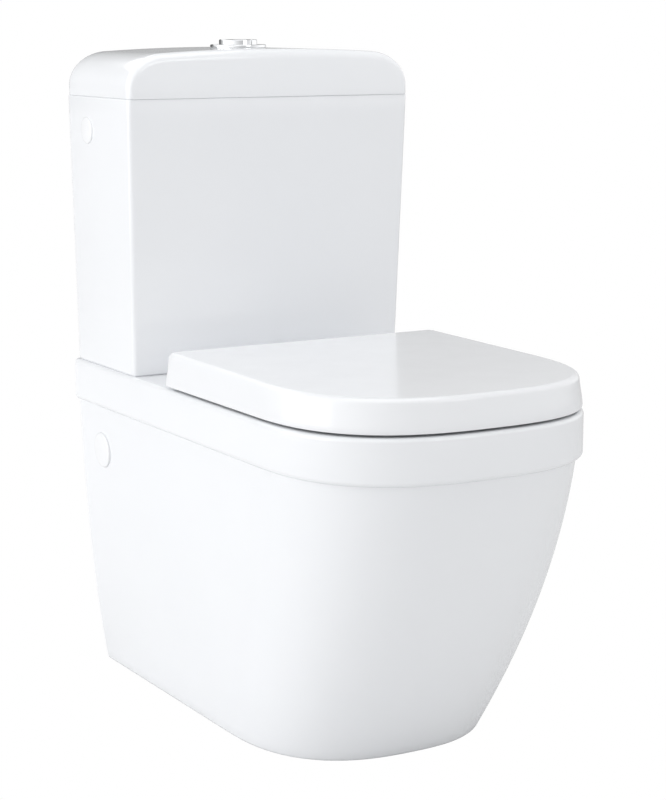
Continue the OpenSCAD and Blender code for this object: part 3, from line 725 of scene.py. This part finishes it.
def buildCover():
    bm = bmesh.new()
    front, back = coverLow[1], coverHigh[1]
    deep, backDeep = cover["frontDeep"], cover["backDeep"]
    slices = []
    for k in range(13):
        t = math.radians(90 * k / 12)
        q = 1 - math.sin(t)
        slices.append(coverSlice(front + deep * (1 - math.cos(t)), cover["frontSide"] * q, cover["frontHigh"] * q))
    slices += [coverSlice(front + deep + (back - front - deep - backDeep) * k / 6, 0, 0) for k in range(1, 7)]
    for k in range(1, 9):
        t = math.radians(90 * k / 8)
        q = 1 - math.cos(t)
        slices.append(coverSlice(back - backDeep * (1 - math.sin(t)), cover["backSide"] * q, cover["backHigh"] * q))
    rows = addRings(bm, slices)
    capRing(bm, rows[0])
    capRing(bm, rows[-1])
    lid = finishPiece("cisternCover", bm, glazedChina, "cistern_cover", hides=("cistern_lid",))
    low = coverLow[2] + 8 * mm
    middle, depth = (front + back) / 2, back - front
    inner, lipOut = cover["inside"], cover["lipIn"]

    def level(inset, z):
        return cornerRing(cover["half"] - inset, depth - 2 * inset, 6 * mm, low + z * mm, 0, 9, middle)

    cavity = [cornerRing(cover["half"] - inner - side * mm, depth - 2 * inner - side * 0.3 * mm, 6 * mm, low + z * mm,
                         0, 9, middle) for side, z in ((0, -1), (0, 14), (8, 28), (26, 37), (46, 40))]
    hole = buttons["radius"] + 4.9 * mm
    collarY = (collarLow[1] + collarHigh[1]) / 2
    bore = [[(hole * math.cos(2 * math.pi * i / 64), collarY + hole * math.sin(2 * math.pi * i / 64), z)
             for i in range(64)] for z in (low + 20 * mm, low + 90 * mm)]
    cutAway(lid, [cavity, bore])
    # the lip that drops into the cistern
    addSolid(lid, [level(lipOut, 1), level(lipOut, -7), level(lipOut + 1 * mm, -8), level(inner - 0.5 * mm, -8),
                   level(inner - 1 * mm, -7.4), level(inner - 1 * mm, 1)])
    return lid


buildCover()
print("cistern built")


def capProfile(radius, rise, stem):
    shape = [(stem - 0.3 * mm, -5 * mm), (stem, -4.4 * mm), (stem, 0.2 * mm), (radius - 0.3 * mm, 0.2 * mm),
             (radius, 0.6 * mm), (radius, 1.4 * mm)]
    for k in range(1, 9):
        t = math.radians(90 * k / 8)
        shape.append((radius - 2.4 * mm * (1 - math.cos(t)), 1.4 * mm + (rise - 2.2 * mm) * math.sin(t)))
    rim = shape[-1]
    for k in range(1, 10):
        q = k / 10
        shape.append((rim[0] * (1 - q) + 0.02 * mm, rim[1] + 0.8 * mm * (1 - (1 - q) ** 2)))
    return shape


def buildCaps(name, node, radius, rise, stem, tilt):
    low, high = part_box(node)
    bm = bmesh.new()
    y, z = (low[1] + high[1]) / 2, (low[2] + high[2]) / 2
    for side in (-1, 1):
        axis = Vector((side * math.cos(math.radians(tilt)), 0, -math.sin(math.radians(tilt))))
        seat = Vector((side * high[0], y, z)) - axis * rise
        rows = lathe(bm, capProfile(radius, rise, stem), seat, axis, 80)
        capRing(bm, rows[0], flip=True)
        capRing(bm, rows[-1])
    return finishPiece(name, bm, capGloss, "base", hides=(node,), sharp=50)


buildCaps("panCaps", "pan_side_caps", 22 * mm, 4 * mm, 14.3 * mm, 2.8)
buildCaps("cisternCaps", "cistern_side_caps", 16 * mm, 3.4 * mm, 8.7 * mm, 1.3)
print("side caps fitted")


axisX = (collarLow[0] + collarHigh[0]) / 2
axisY = (collarLow[1] + collarHigh[1]) / 2
ringTopZ = collarHigh[2]
ringRadius = (collarHigh[0] - collarLow[0]) / 2


def roundedCorner(r0, z0, r1, z1, radius, steps=6):
    # quarter round between an upright side and a flat top
    return [(r0 - radius * (1 - math.cos(math.radians(90 * k / steps))) * (1 if r1 < r0 else -1),
             z1 - radius * (1 - math.sin(math.radians(90 * k / steps)))) for k in range(steps + 1)]


def buildCollar():
    bm = bmesh.new()
    inner = buttons["radius"] + 0.6 * mm
    sleeve = inner + 4 * mm
    low = collarLow[2]
    foot = ringTopZ - 3.8 * mm
    edge = buttons["ringEdge"]
    shape = [(inner, low), (sleeve, low), (sleeve, foot), (ringRadius - 0.5 * mm, foot),
             (ringRadius, foot + 0.5 * mm)]
    shape += roundedCorner(ringRadius, foot, 0, ringTopZ, edge)
    shape += [(ringRadius - 3.2 * mm, ringTopZ), (ringRadius - 6.5 * mm, ringTopZ - 0.35 * mm),
              (inner + 0.9 * mm, ringTopZ - 0.5 * mm)]
    shape += [(inner + 0.25 * mm, ringTopZ - 0.75 * mm), (inner, ringTopZ - 1.3 * mm), (inner, ringTopZ - 26 * mm)]
    rows = lathe(bm, shape, (axisX, axisY, 0), (0, 0, 1), 128)
    joinRows(bm, rows[-1], rows[0])
    return finishPiece("buttonRing", bm, brightChrome, "cistern_cover", hides=("button_collar",), sharp=40)


def buildButton(name, side, node, body):
    low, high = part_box(node)
    bm = bmesh.new()
    r, edge = buttons["radius"], buttons["edge"]
    cut = buttons["split"] + (buttons["gap"] if side > 0 else -buttons["gap"])
    # plan outline of this half, then rings from the foot to the dished top
    reach = math.acos(cut / r)
    if side > 0:
        arc = [-reach + 2 * reach * k / 60 for k in range(61)]
    else:
        arc = [reach + (2 * math.pi - 2 * reach) * k / 90 for k in range(91)]
    centre = Vector((r * 0.64, 0)) if side > 0 else Vector((-r * 0.25, 0))

    def outline(inset, z):
        pts = []
        rr = r - inset
        for t in arc:
            x, y = rr * math.cos(t), rr * math.sin(t)
            lim = cut + inset * side
            x = max(x, lim) if side > 0 else min(x, lim)
            pts.append((axisX + x, axisY + y, z))
        return pts
    rings = [outline(0, low[2]), outline(0, high[2] - edge)]
    rings += [outline(edge * (1 - math.cos(math.radians(t))), high[2] - edge * (1 - math.sin(math.radians(t))))
              for t in (22, 45, 68, 90)]
    last = rings[-1]
    for k in (0.12, 0.3, 0.5, 0.7, 0.88):
        rings.append([(p[0] + (axisX + centre.x - p[0]) * k, p[1] + (axisY - p[1]) * k,
                       high[2] - 0.45 * mm * math.sin(math.radians(90 * k))) for p in last])
    rows = addRings(bm, rings)
    capRing(bm, rows[0], flip=True)
    capRing(bm, rows[-1])
    return finishPiece(name, bm, brightChrome, body, hides=(node,), sharp=40)


buildCollar()
buildButton("halfButton", 1, "half_flush_button", "half_button")
buildButton("fullButton", -1, "full_flush_button", "full_button")
print("flush buttons built")


seat = {
    "inset": 1.1 * mm,
    "rearLine": 257 * mm,
    "rearCorner": 5 * mm,
    "rise": 2.5 * mm,  # extra height at the back edge
    "crown": 0.5 * mm,
    "edgeRound": 5.5 * mm,
    "lip": 6 * mm,
    "ceiling": 26 * mm,
    "ringThick": 19 * mm,
    "ringInset": 9 * mm,
    "ringBack": 2.4 * mm,
    "holeHalf": 115 * mm,
    "holeLong": 141 * mm,
}
seatLowZ = seatLidLow[2]
seatFrontZ = seatLidHigh[2] - seat["rise"]
hingeY = (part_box("hinge_pins")[0][1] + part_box("hinge_pins")[1][1]) / 2
hingeZ = (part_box("hinge_pins")[0][2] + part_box("hinge_pins")[1][2]) / 2
hingeX = (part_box("hinge_posts")[1][0] - 20 * mm)


def seatOutline(inset, z, lift=0.0, back=0.0):
    cut = min(inset, 6 * mm) * 0.6 + back
    closing = [(panHalf - 12 * mm) * (1 - k / 10) for k in range(1, 20)]
    ring = nosedRing(panHalf - seat["inset"] - inset, panDepth - seat["inset"] - inset, pan["nose"] - inset * 0.6,
                     pan["squareness"], seat["rearLine"] + cut, z, seat["rearCorner"], closing)
    long = panDepth - seat["rearLine"]
    return [(x, y, h + lift * (y - wallY + panDepth) / long) for x, y, h in ring]


def buildSeatLid():
    bm = bmesh.new()
    rise = seat["rise"]
    rings = [seatOutline(i * mm, seatLowZ + z * mm)
             for i, z in ((1.6, 0), (0.8, 0.3), (0.3, 1), (0, 2.6), (0.3, 6.5), (0.8, 11), (1.5, 16), (2.2, 21))]
    rings.append(seatOutline(2.9 * mm, seatLowZ + 26 * mm, rise * 0.7))
    edgeRound = seat["edgeRound"]
    for k in range(13):  # rounded top edge
        t = math.radians(90 * k / 12)
        rings.append(seatOutline(3.5 * mm + edgeRound * (1 - math.cos(t)) + 0.8 * mm * math.sin(t),
                                 seatFrontZ - edgeRound * (1 - math.sin(t)), rise))
    top = rings[-1]
    centreY = (wallY - seat["rearLine"] + wallY - panDepth) / 2
    for share in (0.975, 0.93, 0.86, 0.76, 0.64, 0.5, 0.33, 0.17, 0.06):
        rings.append([(x * share, centreY + (y - centreY) * share,
                       seatFrontZ + rise * (centreY + (y - centreY) * share - wallY + panDepth)
                       / (panDepth - seat["rearLine"])
                       + seat["crown"] * (1 - share * share)) for x, y, z in top])
    made = addRings(bm, rings)
    capRing(bm, made[-1])
    lip = seat["lip"]
    ceiling = seatLowZ + seat["ceiling"]
    rows = addRings(bm, [seatOutline(lip - 1 * mm, seatLowZ), seatOutline(lip - 0.3 * mm, seatLowZ + 0.4 * mm),
                         seatOutline(lip, seatLowZ + 1.4 * mm), seatOutline(lip + 2.5 * mm, ceiling - 6 * mm),
                         seatOutline(lip + 4 * mm, ceiling - 2.4 * mm),
                         seatOutline(lip + 7.5 * mm, ceiling - 0.3 * mm),
                         seatOutline(lip + 12 * mm, ceiling)])
    capRing(bm, rows[-1])
    joinRows(bm, made[0], rows[0])
    lid = finishPiece("seatLid", bm, seatGloss, "seat_lid_body", hides=("seat_lid",))
    rear = wallY - seat["rearLine"]
    notches = []
    for s in (-1, 1):
        x = s * (hingeX - 15 * mm)
        notches.append(boxRings((x - 9.5 * mm, rear - 22 * mm, seatLowZ - 4 * mm),
                                (x + 9.5 * mm, rear + 12 * mm, ceiling + 1.5 * mm)))
    cutAway(lid, notches)
    return lid


def buildSeatRing():
    bm = bmesh.new()
    low = seatRingLow[2]
    thick = seat["ringThick"] / mm

    def outer(inset, z):
        return seatOutline(seat["ringInset"] + inset * mm, low + z * mm, 0, seat["ringBack"])

    angles = directions(outer(0, 0), bowlY)

    def hole(grow, z):
        return ovalRing(angles, seat["holeHalf"] + grow * mm, seat["holeLong"] + grow * mm, bowlY, low + z * mm)

    rings = [outer(2.4, 0), outer(0.8, 0.5), outer(0, 2), outer(0.3, 11)]
    for k in range(9):
        t = math.radians(90 * k / 8)
        rings.append(outer(0.5 + 7 * (1 - math.cos(t)), thick - 7.3 + 6.5 * math.sin(t)))
    crownFrom, crownTo = rings[-1], hole(15, thick - 0.8)
    for k in (0.2, 0.4, 0.6, 0.8):
        rings.append([(p[0] + (q[0] - p[0]) * k, p[1] + (q[1] - p[1]) * k, p[2] + (q[2] - p[2]) * k
                       + 0.7 * mm * math.sin(math.pi * k)) for p, q in zip(crownFrom, crownTo)])
    for k in range(11):
        t = math.radians(90 * k / 10)
        rings.append(hole(15 * (1 - math.sin(t)), thick - 0.8 - 9 * (1 - math.cos(t))))
    rings += [hole(0, 5), hole(1.5, 1.4), hole(4, 0.2), hole(8, 0)]
    made = addRings(bm, rings)
    joinRows(bm, made[-1], made[0])
    return finishPiece("seatRing", bm, seatGloss, "seat_ring_body", hides=("seat_ring",), sharp=50)


def buildHingeArms(name, body, offset, reach, drop):
    # a flat arm that grows out of the back edge and ends in a round eye on the hinge pin
    bm = bmesh.new()
    eye = 9.5 * mm
    for s in (-1, 1):
        middle = s * (hingeX + offset)
        outline = []
        for k in range(0, 25):
            t = math.radians(90 - 180 * k / 24)
            outline.append((hingeY + eye * math.cos(t), hingeZ + eye * math.sin(t)))
        outline += [(hingeY - 6 * mm, hingeZ - eye + 0.5 * mm), (hingeY - reach, hingeZ - eye + 0.6 * mm),
                    (hingeY - reach, hingeZ + drop), (hingeY - 7 * mm, hingeZ + drop),
                    (hingeY - 3 * mm, hingeZ + eye * 0.97)]
        slices = []
        for x, inset in ((-7, 0.7), (-6.6, 0.25), (-6, 0), (6, 0), (6.6, 0.25), (7, 0.7)):
            share = 1 - inset * 0.06
            slices.append([(middle + x * mm, hingeY + (y - hingeY) * share, hingeZ + (z - hingeZ) * share)
                           for y, z in outline])
        rows = addRings(bm, slices)
        capRing(bm, rows[0], flip=True)
        capRing(bm, rows[-1])
    bmesh.ops.recalc_face_normals(bm, faces=bm.faces)
    return finishPiece(name, bm, seatGloss, body)


buildSeatLid()
buildSeatRing()
buildHingeArms("lidArms", "seat_lid_body", 14 * mm, 25 * mm, 7 * mm)
buildHingeArms("ringArms", "seat_ring_body", -15 * mm, 34 * mm, 0.5 * mm)
print("seat built")


nodeFinish = {
    "collar_nut": whiteMoulding, "half_flush_rod": whiteMoulding, "full_flush_rod": whiteMoulding,
    "valve_base": greyMoulding, "valve_tower": whiteMoulding, "valve_stem": greyMoulding, "valve_seal": sealRubber,
    "half_flush_lever": greyMoulding, "full_flush_lever": greyMoulding, "outlet_washer": sealRubber,
    "outlet_nut": greyMoulding, "coupling_gasket": sealRubber, "coupling_bolts": zincSteel,
    "coupling_washers": sealRubber, "coupling_nuts": zincSteel, "fill_valve_body": greyMoulding,
    "fill_valve_float": whiteMoulding, "fill_valve_link": zincSteel, "fill_valve_arm": greyMoulding,
    "inlet_washer": sealRubber, "inlet_nut": whiteMoulding, "ring_buffers": softPad, "lid_buffers": softPad,
    "hinge_posts": brightChrome, "hinge_pins": zincSteel, "seat_bolts": zincSteel, "seat_washers": sealRubber,
    "seat_nuts": whiteMoulding, "wall_brackets": zincSteel, "side_screws": zincSteel,
}


def dressNodes():
    for name, finish in nodeFinish.items():
        node = frame["nodes"][name]
        for piece in ([node] if node.type == "MESH" else [c for c in node.children if c.type == "MESH"]):
            for slotPlace in piece.material_slots:
                slotPlace.material = finish
            if not piece.material_slots:
                print("no slot on", name)


dressNodes()
print("nodes dressed")
